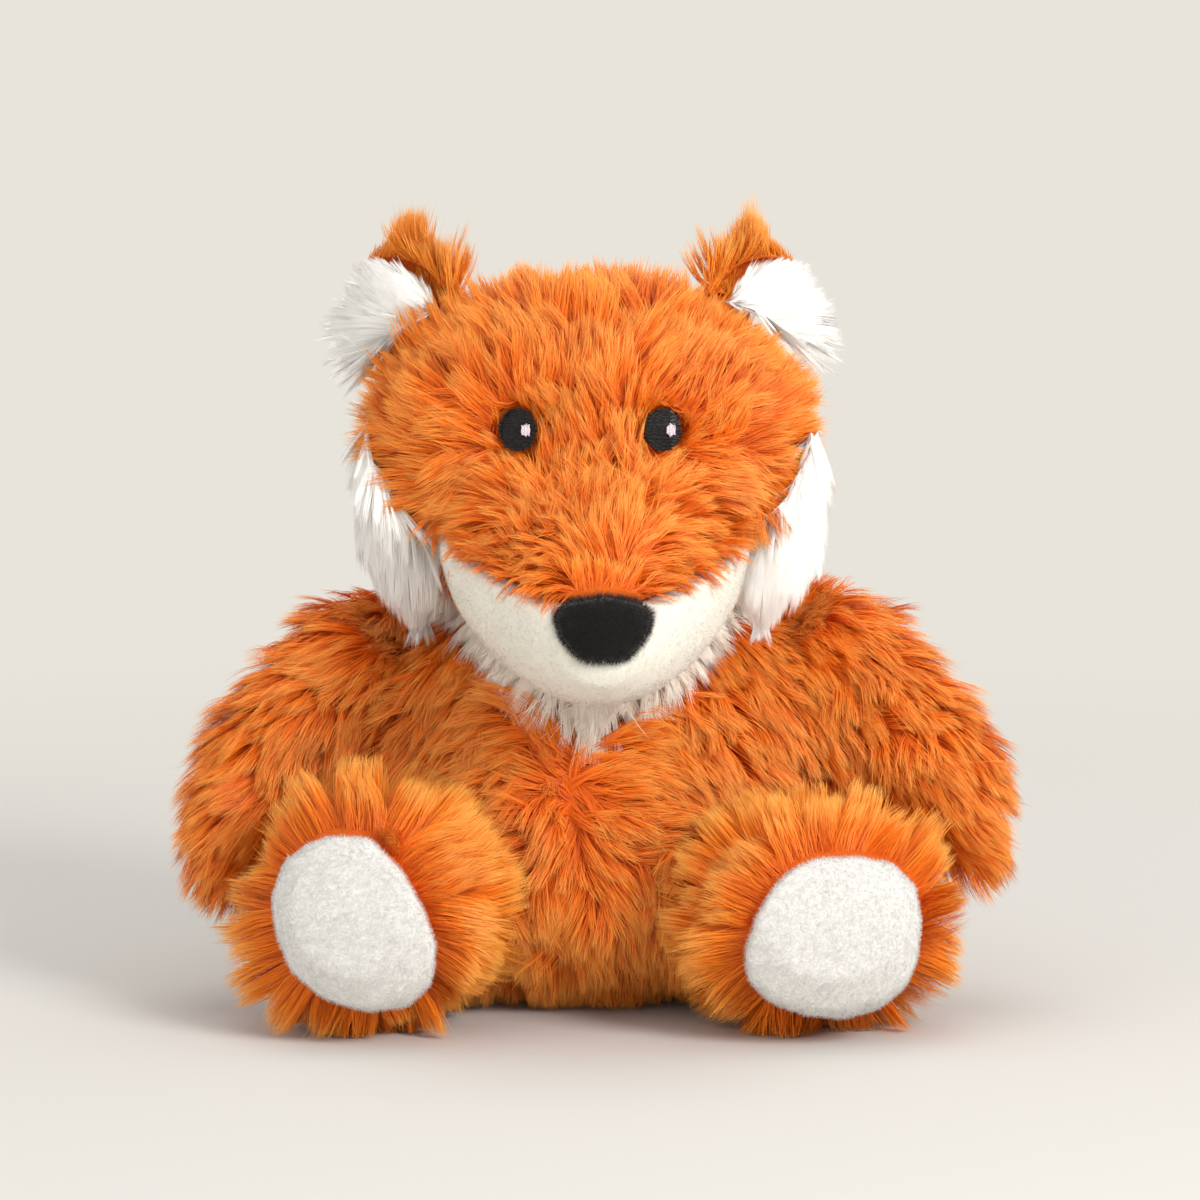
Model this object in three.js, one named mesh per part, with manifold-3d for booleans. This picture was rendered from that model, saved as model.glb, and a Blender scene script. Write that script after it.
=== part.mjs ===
// A sitting plush fox, about a quarter of a metre tall, sewn from long fur fabric and short plush.
// It faces -Y, +Z is up and the origin is the middle of the flat under its seat. Left and right are
// the viewer's. Each skin is a shell as deep as its fur lies, open where it is sewn on, and its
// filling is a piece of its own inside. Lengths are in millimetres and angles in degrees.

import * as THREE from 'three';
import { mergeVertices } from 'three/addons/utils/BufferGeometryUtils.js';
import Module from 'manifold-3d';

const wasm = await Module();
wasm.setup();

// Fabrics and fits
const furDepth = 8;
const seamGap = 0.3;
const flatSink = 0.5;
const insideRings = 8;
const insideSides = 12;
const cutterReach = 400;
const sweepStep = 9;
const curveSegments = 8;

// Body: a pear that is widest low down, with its neck inside the head
const torsoHeight = 137;
const torsoWidth = 148;
const torsoDepth = 112;
const torsoWidthShares = [0.93, 1, 0.98, 0.89, 0.77, 0.64];
const torsoDepthShares = [0.95, 1, 0.97, 0.88, 0.78, 0.7];
const torsoLeanShares = [0.01, -0.01, -0.02, 0, 0.02, 0.02];
const pouchHeight = 44;

// Bib: a panel that runs from the neck to a point on the chest
const bibWidth = 84;
const bibDrop = 60;
const bibMiddle = -5;
const bibOutlineShares = [
  [-0.5, 0], [-0.52, -0.3], [-0.3, -0.62], [0.06, -1], [0.2, -0.86], [0.5, -0.3], [0.47, 0],
];

// Head: a skull that is widest over the eyes, and a snout that runs forward and down from it
const headSink = 21;
const headNodAngle = 18;
const neckBackShare = 0.125;
const headMiddle = -2;
const skullHeight = 103;
const skullWidth = 134;
const skullDepth = 98;
const skullBack = -4;
const skullSquareness = 2.5;
const skullWidthShares = [0.7, 0.84, 0.95, 1, 0.98, 0.9];
const skullDepthShares = [0.78, 0.92, 1, 1, 0.97, 0.86];
const snoutLength = 96;
const snoutRise = 31;
const snoutFall = 27;
const snoutLean = 4;
const snoutWidth = 98;
const snoutHeight = 62;
const snoutWidthShares = [0.9, 1, 0.95, 0.82, 0.66, 0.56];
const snoutHeightShares = [1.2, 1.17, 1.1, 1.03, 0.98, 0.9];
const snoutArchShares = [0.05, 0.05, 0.04, 0.01, 0, 0];

// Muzzle: the cream lower half of the snout, under a seam that climbs backward
const muzzleSeamRise = 5;
const muzzleSeamTilt = 14;
const muzzleBack = 74;

// Cheek ruffs
const cheekWidth = 36;
const cheekDepth = 38;
const cheekHeight = 74;
const cheekSpread = 108;
const cheekRise = 31;
const cheekForward = 9;
const cheekLean = 12;
const cheekWidthShares = [0.5, 0.8, 1, 1, 0.85, 0.6];

// Eyes and nose
const eyeSpacing = 43;
const eyeWidth = 10.8;
const eyeHeight = 12.6;
const eyeRise = 62.5;
const eyeRecess = 4.5;
const threadDepth = 1.5;
const glintWidth = 2.7;
const glintHeight = 3.2;
const glintDepth = 0.6;
const glintAside = 2.4;
const noseWidth = 29.5;
const noseHeight = 21.5;
const noseRise = 6;
const noseProud = 2.5;
const noseDepth = 4;
const noseOutlineShares = [
  [-0.5, 0.22], [-0.36, 0.4], [0, 0.5], [0.36, 0.4], [0.5, 0.22],
  [0.43, -0.12], [0.22, -0.44], [-0.22, -0.44], [-0.43, -0.12],
];

// Ears: a fur back, cupped round a white lining that faces outward
const earMiddle = -5;
const earSpread = 90;
const earRise = 70;
const earBack = 8;
const earHeight = 54;
const earWidth = 46;
const earDepth = 22;
const earSplay = 14;
const earTurn = 40;
const earWidthShares = [0.8, 1, 1, 0.95, 0.85, 0.7];
const liningHeight = 45;
const liningWidth = 40;
const liningDepth = 15;
const liningProud = 6;
const earSlack = 14;
const earFoldAngle = 20;

// Arms, which hang outward and forward from the shoulders
const armWidth = 50;
const armDepth = 48;
const armWidthShares = [1, 1.2, 1.2, 1.06, 1, 0.92];
const armBowShares = [0, -0.03, -0.05, -0.05, -0.03, 0.03];
const armDepthShares = [0.85, 0.95, 1, 1, 1, 0.92];
const shoulderShare = 0.27;
const shoulderDrop = 7;
const shoulderBack = 18;
const arms = {
  left: { side: -1, outward: 80, forward: 38, drop: 94, lift: 35 },
  right: { side: 1, outward: 80, forward: 36, drop: 88, lift: 35 },
};

// Legs, which lie on the floor with their soles turned to the front
const hipShare = 0.37;
const hipForward = 4;
const creaseForward = 34;
const creaseShare = 0.72;
const legReach = 92;
const legWidthShares = [0.6, 0.66, 0.78, 0.95, 1, 0.98];
const legs = {
  left: { side: -1, outward: 18, width: 80, height: 79, lift: 25 },
  right: { side: 1, outward: 15, width: 88, height: 74, lift: 25 },
};
const padInset = 2;
const padDepth = 5;
const padReach = 30;
const pads = {
  left: { width: 49, height: 52, inward: 1.5, rise: -5 },
  right: { width: 53, height: 49, inward: 0.7, rise: -7 },
};
const padOutlineShares = {
  left: [
    [-0.1, 0.5], [0.1, 0.49], [0.3, 0.32], [0.43, 0.1], [0.5, -0.1], [0.47, -0.34], [0.32, -0.48],
    [0.08, -0.5], [-0.18, -0.43], [-0.38, -0.28], [-0.48, -0.06], [-0.5, 0.14], [-0.42, 0.33], [-0.27, 0.44],
  ],
  right: [
    [-0.09, 0.5], [0.14, 0.5], [0.34, 0.44], [0.47, 0.29], [0.5, 0.1], [0.48, -0.13], [0.41, -0.32],
    [0.26, -0.45], [0.06, -0.5], [-0.16, -0.46], [-0.36, -0.37], [-0.48, -0.22], [-0.49, -0.04],
    [-0.43, 0.17], [-0.34, 0.33], [-0.23, 0.44],
  ],
};

// Tail, which lies on the floor behind
const tailLength = 92;
const tailWidth = 46;
const tailHeight = 44;
const tailAside = 34;
const tailRoot = 34;
const tailSink = 10;
const tailTipRise = 20;
const tailTipShare = 0.68;
const tailLift = 50;
const tailWidthShares = [0.7, 0.85, 1, 1, 0.85, 0.55];
const tailBowShares = [0, 0.04, 0.05, 0.03, -0.02, -0.08];

// Colours, roughness and metalness
const orangeFur = fabric(0xdd6e2a, 0.85);
const creamFur = fabric(0xe1d7c9, 0.9);
const whiteFur = fabric(0xeeece8, 0.9);
const creamPlush = fabric(0xf0ecde, 0.9);
const whitePlush = fabric(0xf3f1ec, 0.9);
const blackFleece = fabric(0x1e1c1b, 0.95);
const blackThread = fabric(0x232120, 0.6);
const paleThread = fabric(0xf0e1eb, 0.6);
const fibre = fabric(0xf4f3ef, 1);
const cottonCloth = fabric(0xd8cfbd, 0.95);

function fabric(color, roughness) {
  return new THREE.MeshStandardMaterial({ color, roughness, metalness: 0 });
}

// Reads a row of shares at a place from 0 to 1, on a smooth curve through them.
function shareAt(shares, place) {
  const curve = new THREE.SplineCurve(shares.map((share, i) => new THREE.Vector2(i, share)));
  return curve.getPoint(place).y;
}

// A sewn and stuffed form from one rounded end to the other. Its width lies along `sideways`. The
// shares swell and taper it and bow it, and `grow` moves its whole surface outward.
function stuffed(form, grow = 0) {
  const { from, to, width, depth, squareness = 2, power = 2.4, rings = 12, sides = 20 } = form;
  const { widthShares = [1, 1], depthShares = widthShares } = form;
  const { bowShares = [0, 0], leanShares = [0, 0] } = form;
  const length = to.distanceTo(from);
  const points = [];
  for (let ring = 0; ring <= rings; ring++) {
    const along = -Math.cos((Math.PI * ring) / rings);
    const place = (along + 1) / 2;
    const fullness = Math.max(0, 1 - Math.abs(along) ** power) ** (1 / power);
    const halfWidth = ((width / 2) * shareAt(widthShares, place) + grow) * fullness;
    const halfDepth = ((depth / 2) * shareAt(depthShares, place) + grow) * fullness;
    const middle = new THREE.Vector3(
      length * shareAt(bowShares, place),
      length * shareAt(leanShares, place),
      (length / 2 + grow) * along,
    );
    const isEnd = ring === 0 || ring === rings;
    for (let side = 0; side < (isEnd ? 1 : sides); side++) {
      const angle = (2 * Math.PI * side) / sides;
      const offset = roundedCorner(angle, squareness).multiply(new THREE.Vector3(halfWidth, halfDepth, 1));
      points.push(isEnd ? middle : offset.add(middle));
    }
  }
  const geometry = new THREE.BufferGeometry().setFromPoints(points);
  geometry.setIndex(ringFaces(rings, sides));
  return geometry.applyMatrix4(alongAxis(from, to, form.sideways));
}

// A point round a unit section: a circle at a squareness of 2, and boxier above it.
function roundedCorner(angle, squareness) {
  const bend = (value) => Math.sign(value) * Math.abs(value) ** (2 / squareness);
  return new THREE.Vector3(bend(Math.cos(angle)), bend(Math.sin(angle)), 0);
}

// The space inside a skin, which needs fewer faces than the skin itself.
function inside(form, gap = 0) {
  return stuffed({ ...form, rings: insideRings, sides: insideSides }, -furDepth - gap);
}

// Joins rings of points into a closed skin, with a fan at each end.
function ringFaces(rings, sides) {
  const faces = [];
  const last = 1 + (rings - 1) * sides;
  const at = (ring, side) => 1 + (ring - 1) * sides + (side % sides);
  for (let side = 0; side < sides; side++) {
    faces.push(0, at(1, side + 1), at(1, side));
    for (let ring = 1; ring < rings - 1; ring++) {
      faces.push(at(ring, side), at(ring, side + 1), at(ring + 1, side + 1));
      faces.push(at(ring, side), at(ring + 1, side + 1), at(ring + 1, side));
    }
    faces.push(last, at(rings - 1, side), at(rings - 1, side + 1));
  }
  return faces;
}

// The frame whose Z runs from one point to the other, and whose X lies toward `sideways`.
function alongAxis(from, to, sideways) {
  const along = new THREE.Vector3().subVectors(to, from).normalize();
  const up = new THREE.Vector3().crossVectors(along, sideways).normalize();
  const across = new THREE.Vector3().crossVectors(up, along);
  const middle = new THREE.Vector3().addVectors(from, to).divideScalar(2);
  return new THREE.Matrix4().makeBasis(across, up, along).setPosition(middle);
}

// A closed solid for joining and cutting, made from a geometry.
function solid(geometry) {
  const merged = geometry.clone();
  merged.deleteAttribute('normal');
  merged.deleteAttribute('uv');
  const closed = mergeVertices(merged);
  const vertProperties = new Float32Array(closed.attributes.position.array);
  const triVerts = new Uint32Array(closed.index.array);
  return new wasm.Manifold(new wasm.Mesh({ numProp: 3, vertProperties, triVerts }));
}

// The geometry of a cut solid.
function geometryOf(cutSolid) {
  const mesh = cutSolid.getMesh();
  const geometry = new THREE.BufferGeometry();
  geometry.setAttribute('position', new THREE.BufferAttribute(new Float32Array(mesh.vertProperties), 3));
  geometry.setIndex([...mesh.triVerts]);
  return geometry;
}

function cut(piece, ...cutters) {
  return cutters.reduce((rest, cutter) => rest.subtract(solid(cutter)), piece);
}

// The largest of the bodies that a cut leaves, without the crumbs beside it.
function mainBody(piece) {
  const bodies = piece.decompose();
  return bodies.reduce((best, body) => (body.volume() > best.volume() ? body : best));
}

// A hinge: a point, an axis and the angles it turns through.
function hinge(point, axis, low, high) {
  return { point, axis: axis.clone().normalize(), low, high };
}

function turned(geometry, joint, angle) {
  const turn = new THREE.Matrix4().makeRotationAxis(joint.axis, THREE.MathUtils.degToRad(angle));
  const there = new THREE.Matrix4().makeTranslation(joint.point);
  const back = new THREE.Matrix4().makeTranslation(joint.point.clone().negate());
  return geometry.clone().applyMatrix4(there.multiply(turn).multiply(back));
}

function anglesOf(joint) {
  const steps = Math.ceil((joint.high - joint.low) / sweepStep);
  return Array.from({ length: steps + 1 }, (_, i) => joint.low + ((joint.high - joint.low) * i) / steps);
}

// Takes off a piece what its neighbours would meet while it turns on its hinge, and while they turn
// on theirs.
function clearOf(piece, joint, neighbours, neighbourJoint = null) {
  let rest = piece;
  const neighbourAngles = neighbourJoint ? [neighbourJoint.low, neighbourJoint.high] : [0];
  for (const neighbour of neighbours) {
    for (const neighbourAngle of neighbourAngles) {
      const there = neighbourJoint ? turned(neighbour, neighbourJoint, neighbourAngle) : neighbour;
      for (const angle of anglesOf(joint)) {
        rest = rest.subtract(solid(turned(there, joint, -angle)));
      }
    }
  }
  return rest;
}

// A long cutter whose outline, given in shares of a width and a height, runs toward the front.
function outlinePrism(outlineShares, width, height, middle, back, grow = 0) {
  const place = ([x, z]) => new THREE.Vector2(x * (width + 2 * grow), z * (height + 2 * grow));
  return extrudedToFront(new THREE.Shape(outlineShares.map(place)), middle, back);
}

function ovalPrism(width, height, middle, back, grow = 0) {
  const shape = new THREE.Shape();
  shape.absellipse(0, 0, width / 2 + grow, height / 2 + grow, 0, 2 * Math.PI);
  return extrudedToFront(shape, middle, back);
}

function extrudedToFront(shape, middle, back) {
  const options = { depth: cutterReach, bevelEnabled: false, curveSegments, steps: 1 };
  const geometry = new THREE.ExtrudeGeometry(shape, options);
  geometry.rotateX(Math.PI / 2);
  return geometry.translate(middle.x, back, middle.z);
}

// The block on the far side of a plane through a point, facing `normal`.
function halfSpace(point, normal) {
  const block = new THREE.BoxGeometry(cutterReach, cutterReach, cutterReach);
  block.translate(0, 0, cutterReach / 2);
  const toNormal = new THREE.Quaternion().setFromUnitVectors(upward, normal.clone().normalize());
  return block.applyQuaternion(toNormal).translate(point.x, point.y, point.z);
}

const across = new THREE.Vector3(1, 0, 0);
const upward = new THREE.Vector3(0, 0, 1);
const downward = upward.clone().negate();
const backward = new THREE.Vector3(0, 1, 0);
const floor = halfSpace(new THREE.Vector3(), downward);

// The bodies' groups stand at their hinges, and each piece is placed in its group.
const fox = new THREE.Group();

function bodyGroup(parent, point) {
  const group = new THREE.Group();
  group.position.copy(point);
  if (parent !== fox) {
    group.position.sub(parent.userData.point);
  }
  group.userData.point = point;
  parent.add(group);
  return group;
}

function addPiece(group, name, piece, material) {
  const geometry = geometryOf(mainBody(piece));
  const { x, y, z } = group.userData.point;
  geometry.translate(-x, -y, -z);
  geometry.computeVertexNormals();
  const mesh = new THREE.Mesh(geometry, material);
  mesh.name = name;
  group.add(mesh);
}

// Forms of the large parts, from which everything else takes its place
const torsoForm = {
  from: new THREE.Vector3(0, 0, -flatSink),
  to: new THREE.Vector3(0, 0, torsoHeight),
  sideways: across,
  width: torsoWidth,
  depth: torsoDepth,
  widthShares: torsoWidthShares,
  depthShares: torsoDepthShares,
  leanShares: torsoLeanShares,
  power: 2.6,
  rings: 12,
  sides: 20,
};

const headBase = torsoHeight - headSink;
const skullForm = {
  from: new THREE.Vector3(headMiddle, skullBack, headBase),
  to: new THREE.Vector3(headMiddle, skullBack, headBase + skullHeight),
  sideways: across,
  width: skullWidth,
  depth: skullDepth,
  squareness: skullSquareness,
  widthShares: skullWidthShares,
  depthShares: skullDepthShares,
  rings: 12,
  sides: 20,
};

const snoutRoot = new THREE.Vector3(headMiddle, skullBack, headBase + snoutRise);
const snoutForm = {
  from: snoutRoot,
  to: snoutRoot.clone().add(new THREE.Vector3(snoutLean, -snoutLength, -snoutFall)),
  sideways: across,
  width: snoutWidth,
  depth: snoutHeight,
  widthShares: snoutWidthShares,
  depthShares: snoutHeightShares,
  leanShares: snoutArchShares,
  power: 2.6,
  rings: 10,
  sides: 18,
};

// Hinges
const neckPoint = new THREE.Vector3(headMiddle, skullBack + skullDepth * neckBackShare, headBase);
const neckHinge = hinge(neckPoint, across.clone().negate(), 0, headNodAngle);

// Body, with its bib, pouch and filling
function addTorso() {
  const group = bodyGroup(fox, new THREE.Vector3());
  const skin = cut(solid(stuffed(torsoForm)), inside(torsoForm), floor);
  const neckCut = halfSpace(new THREE.Vector3(0, 0, torsoHeight - furDepth), upward);
  const bibPlace = new THREE.Vector3(bibMiddle, 0, torsoHeight);
  const bibCutter = (grow) => outlinePrism(bibOutlineShares, bibWidth, bibDrop, bibPlace, 0, grow);
  const openSkin = cut(skin, neckCut);
  addPiece(group, 'torso_cover', cut(openSkin, bibCutter(seamGap)), orangeFur);
  addPiece(group, 'chest_bib', openSkin.intersect(solid(bibCutter(0))), creamFur);

  const filling = cut(solid(inside(torsoForm, seamGap)), neckCut);
  const pouchTop = new THREE.Vector3(0, 0, pouchHeight);
  addPiece(group, 'bean_pouch', cut(filling, halfSpace(pouchTop, upward)), cottonCloth);
  pouchTop.z += seamGap;
  addPiece(group, 'torso_stuffing', cut(filling, halfSpace(pouchTop, downward)), fibre);
}

// Head, with its muzzle, cheeks, filling, eyes and nose
function addHead() {
  const group = bodyGroup(fox, neckPoint);
  const torsoRoom = stuffed(torsoForm, seamGap);
  const shape = (grow) => solid(stuffed(skullForm, grow)).add(solid(stuffed(snoutForm, grow)));
  const hollow = (gap) => solid(inside(skullForm, gap)).add(solid(inside(snoutForm, gap)));
  const skin = clearOf(shape(0).subtract(hollow(0)), neckHinge, [torsoRoom]);

  const seamTilt = THREE.MathUtils.degToRad(muzzleSeamTilt);
  const seamPoint = snoutForm.to.clone().add(new THREE.Vector3(0, 0, noseRise + muzzleSeamRise));
  const seamNormal = new THREE.Vector3(0, Math.sin(seamTilt), -Math.cos(seamTilt));
  const muzzleEnd = new THREE.Vector3(0, snoutForm.to.y + muzzleBack, 0);
  const muzzleRoom = (gap) => {
    const under = halfSpace(seamPoint.clone().addScaledVector(seamNormal, -gap), seamNormal);
    const behind = halfSpace(muzzleEnd.clone().addScaledVector(backward, gap), backward);
    return cut(solid(under), behind);
  };

  const noseAt = snoutForm.to.clone().add(new THREE.Vector3(0, 0, noseRise));
  const noseCutter = (grow) =>
    solid(outlinePrism(noseOutlineShares, noseWidth, noseHeight, noseAt, snoutForm.to.y + noseWidth, grow));
  const noseSeat = noseCutter(seamGap).subtract(shape(-noseDepth - seamGap));
  const nose = noseCutter(0).intersect(shape(noseProud)).subtract(shape(-noseDepth));
  addPiece(group, 'nose', nose, blackFleece);

  let faceSkin = skin.subtract(muzzleRoom(seamGap)).subtract(noseSeat);
  const eyeBottom = shape(-eyeRecess - threadDepth);
  const eyeSurface = shape(-eyeRecess);
  for (const [name, side] of [['left', -1], ['right', 1]]) {
    const eyeAt = new THREE.Vector3(headMiddle + (side * eyeSpacing) / 2, 0, headBase + eyeRise);
    const eyeRoom = solid(ovalPrism(eyeWidth, eyeHeight, eyeAt, skullBack, seamGap));
    faceSkin = faceSkin.subtract(eyeRoom.subtract(shape(-eyeRecess - threadDepth - seamGap)));
    const eye = solid(ovalPrism(eyeWidth, eyeHeight, eyeAt, skullBack)).intersect(eyeSurface);
    addPiece(group, `eye_${name}`, eye.subtract(eyeBottom), blackThread);
    const glintAt = eyeAt.clone().add(new THREE.Vector3(glintAside, 0, 0));
    const glint = solid(ovalPrism(glintWidth, glintHeight, glintAt, skullBack));
    const glintLayer = shape(-eyeRecess + seamGap + glintDepth).subtract(shape(-eyeRecess + seamGap));
    addPiece(group, `eye_glint_${name}`, glint.intersect(glintLayer), paleThread);
  }
  addPiece(group, 'head_cover', faceSkin, orangeFur);
  addPiece(group, 'muzzle_jaw', skin.intersect(muzzleRoom(0)).subtract(noseSeat), creamPlush);

  const filling = clearOf(hollow(seamGap), neckHinge, [torsoRoom]);
  addPiece(group, 'head_stuffing', filling, fibre);

  for (const [name, side] of [['left', -1], ['right', 1]]) {
    const cheek = solid(stuffed(cheekForm(side))).subtract(shape(seamGap));
    addPiece(group, `cheek_${name}`, clearOf(cheek, neckHinge, [torsoRoom]), whiteFur);
  }
  for (const [name, side] of [['left', -1], ['right', 1]]) {
    addEar(group, name, side, shape);
  }
}

function cheekForm(side) {
  const middle = new THREE.Vector3(
    headMiddle + (side * cheekSpread) / 2,
    skullBack - cheekForward,
    headBase + cheekRise,
  );
  const reach = new THREE.Vector3(side * cheekLean, 0, cheekHeight).divideScalar(2);
  return {
    from: middle.clone().sub(reach),
    to: middle.clone().add(reach),
    sideways: across,
    width: cheekWidth,
    depth: cheekDepth,
    widthShares: cheekWidthShares,
    rings: 8,
    sides: 12,
  };
}

// An ear, which folds about the line where it is sewn to the skull
function addEar(headGroup, name, side, headShape) {
  const rootAcross = earMiddle + (side * earSpread) / 2;
  const root = new THREE.Vector3(rootAcross, skullBack + earBack, headBase + earRise);
  const splay = THREE.MathUtils.degToRad(earSplay);
  const turn = THREE.MathUtils.degToRad(earTurn);
  const rise = new THREE.Vector3(side * Math.sin(splay), 0, Math.cos(splay));
  const facing = new THREE.Vector3(side * Math.sin(turn), -Math.cos(turn), 0);
  const inPlane = new THREE.Vector3().crossVectors(facing, rise).normalize();
  const form = {
    from: root,
    to: root.clone().addScaledVector(rise, earHeight),
    sideways: inPlane,
    width: earWidth,
    depth: earDepth,
    widthShares: earWidthShares,
    rings: 8,
    sides: 12,
  };
  const liningRoot = root.clone().addScaledVector(facing, liningProud);
  const lining = { ...form, from: liningRoot, to: liningRoot.clone().addScaledVector(rise, liningHeight) };
  lining.width = liningWidth;
  lining.depth = liningDepth;

  const fold = hinge(root.clone().addScaledVector(rise, earSlack), inPlane, -earFoldAngle, earFoldAngle);
  const group = bodyGroup(headGroup, fold.point);
  const skull = geometryOf(headShape(seamGap));
  const back = cut(solid(stuffed(form)), stuffed(lining, seamGap));
  addPiece(group, `ear_back_${name}`, clearOf(back, fold, [skull]), orangeFur);
  addPiece(group, `ear_lining_${name}`, clearOf(solid(stuffed(lining)), fold, [skull]), whiteFur);
}

// Lowers or lifts a form so that it sinks into the floor only by what is cut flat.
function restingOnFloor(form) {
  const geometry = stuffed(form);
  geometry.computeBoundingBox();
  const shift = new THREE.Vector3(0, 0, -flatSink - geometry.boundingBox.min.z);
  return { ...form, from: form.from.clone().add(shift), to: form.to.clone().add(shift) };
}

function legForm({ side, outward, width, height }) {
  const rootHeight = height * legWidthShares[0];
  const from = new THREE.Vector3(side * torsoWidth * hipShare, -hipForward, rootHeight / 2);
  const reach = new THREE.Vector3(side * outward, -legReach, (height - rootHeight) / 2);
  return restingOnFloor({
    from,
    to: from.clone().add(reach),
    sideways: across,
    width,
    depth: height,
    widthShares: legWidthShares,
    power: 2.8,
    rings: 10,
    sides: 18,
  });
}

function legHinge({ side, height, lift }) {
  const back = -hipForward - creaseForward;
  const point = new THREE.Vector3(side * torsoWidth * hipShare, back, height * creaseShare);
  return hinge(point, across.clone().negate(), 0, lift);
}

// A leg, with its sole pad and filling
function addLeg(name) {
  const form = legForm(legs[name]);
  const joint = legHinge(legs[name]);
  const group = bodyGroup(fox, joint.point);
  const torsoRoom = [stuffed(torsoForm, seamGap)];
  const pad = pads[name];
  const padAt = new THREE.Vector3(form.to.x - legs[name].side * pad.inward, 0, form.to.z + pad.rise);
  const padBack = form.to.y + padReach;
  const padRoom = (grow) =>
    solid(outlinePrism(padOutlineShares[name], pad.width, pad.height, padAt, padBack, grow));
  const padSeat = padRoom(seamGap).subtract(solid(stuffed(form, -padInset - padDepth - seamGap)));
  const padSolid = padRoom(0).intersect(solid(stuffed(form, -padInset)));
  const skin = cut(solid(stuffed(form)), inside(form), floor).subtract(padSeat);
  addPiece(group, `leg_cover_${name}`, clearOf(skin, joint, torsoRoom), orangeFur);
  addPiece(group, `foot_pad_${name}`, cut(padSolid, stuffed(form, -padInset - padDepth)), whitePlush);
  const filling = solid(inside(form, seamGap));
  addPiece(group, `leg_stuffing_${name}`, clearOf(filling, joint, torsoRoom), fibre);
}

function armForm({ side, outward, forward, drop }) {
  const shoulderAcross = side * torsoWidth * shoulderShare;
  const from = new THREE.Vector3(shoulderAcross, shoulderBack, torsoHeight - shoulderDrop);
  return {
    from,
    to: from.clone().add(new THREE.Vector3(side * outward, -forward, -drop)),
    sideways: across,
    width: armWidth,
    depth: armDepth,
    widthShares: armWidthShares,
    depthShares: armDepthShares,
    bowShares: armBowShares.map((share) => -side * share),
    rings: 10,
    sides: 14,
  };
}

// An arm, which lifts outward about the top of its shoulder seam
function addArm(name) {
  const arm = arms[name];
  const form = armForm(arm);
  const joint = hinge(form.from, new THREE.Vector3(0, -arm.side, 0), 0, arm.lift);
  const group = bodyGroup(fox, joint.point);
  const torsoRoom = [stuffed(torsoForm, seamGap)];
  const headRoom = [stuffed(skullForm, seamGap), stuffed(cheekForm(arm.side), seamGap)];
  const legRoom = [stuffed(legForm(legs[name]), seamGap)];
  const clear = (piece) => {
    const besideTorso = clearOf(piece, joint, torsoRoom);
    const underHead = clearOf(besideTorso, joint, headRoom, neckHinge);
    return clearOf(underHead, joint, legRoom, legHinge(legs[name]));
  };
  const skin = cut(solid(stuffed(form)), inside(form));
  addPiece(group, `arm_cover_${name}`, clear(skin), orangeFur);
  addPiece(group, `arm_stuffing_${name}`, clear(solid(inside(form, seamGap))), fibre);
}

// Tail, with its white tip
function addTail() {
  const root = new THREE.Vector3(0, torsoDepth / 2 - tailSink, tailRoot);
  const form = restingOnFloor({
    from: root,
    to: root.clone().add(new THREE.Vector3(tailAside, tailLength, tailTipRise - tailRoot)),
    sideways: across,
    width: tailWidth,
    depth: tailHeight,
    widthShares: tailWidthShares,
    bowShares: tailBowShares,
    rings: 10,
    sides: 14,
  });
  const joint = hinge(form.from, across, 0, tailLift);
  const group = bodyGroup(fox, joint.point);
  const torsoRoom = [stuffed(torsoForm, seamGap)];
  const along = form.to.clone().sub(form.from);
  const seam = form.from.clone().addScaledVector(along, tailTipShare);
  const beyondSeam = solid(halfSpace(seam, along));
  const seamEdge = seam.clone().addScaledVector(along, -seamGap / along.length());
  const beforeSeam = solid(halfSpace(seamEdge, along.clone().negate()));
  const skin = cut(solid(stuffed(form)), inside(form), floor);
  addPiece(group, 'tail_cover', clearOf(skin.intersect(beforeSeam), joint, torsoRoom), orangeFur);
  addPiece(group, 'tail_tip', skin.intersect(beyondSeam), whiteFur);
  const filling = solid(inside(form, seamGap));
  addPiece(group, 'tail_stuffing', clearOf(filling, joint, torsoRoom), fibre);
}

addTorso();
addHead();
for (const name of ['left', 'right']) {
  addLeg(name);
  addArm(name);
}
addTail();

export default fox;
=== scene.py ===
"""Looks of the sitting plush fox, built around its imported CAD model. Lengths are in metres."""

import math

import bpy
import numpy as np
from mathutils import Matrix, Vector
from mathutils.bvhtree import BVHTree
from mathutils.geometry import convex_hull_2d
from mathutils.kdtree import KDTree

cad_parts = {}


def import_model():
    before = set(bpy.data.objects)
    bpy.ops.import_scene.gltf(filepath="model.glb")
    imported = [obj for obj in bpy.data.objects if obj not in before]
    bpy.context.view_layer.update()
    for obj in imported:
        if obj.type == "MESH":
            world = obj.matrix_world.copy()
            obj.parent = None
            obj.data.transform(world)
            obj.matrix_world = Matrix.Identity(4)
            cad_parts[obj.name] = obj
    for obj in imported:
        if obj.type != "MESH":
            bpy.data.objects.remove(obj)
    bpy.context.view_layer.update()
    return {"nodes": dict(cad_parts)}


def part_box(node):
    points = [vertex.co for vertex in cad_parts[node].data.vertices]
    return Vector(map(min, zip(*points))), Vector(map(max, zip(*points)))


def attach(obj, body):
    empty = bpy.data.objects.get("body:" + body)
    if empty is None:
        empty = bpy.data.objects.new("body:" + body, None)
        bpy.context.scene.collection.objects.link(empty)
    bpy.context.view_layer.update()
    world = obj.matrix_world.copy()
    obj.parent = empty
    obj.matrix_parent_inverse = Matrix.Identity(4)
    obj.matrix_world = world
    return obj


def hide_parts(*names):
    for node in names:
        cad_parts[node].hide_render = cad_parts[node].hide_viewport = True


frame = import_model()
MM = 0.001
SIDES = {"left": -1, "right": 1}

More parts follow.
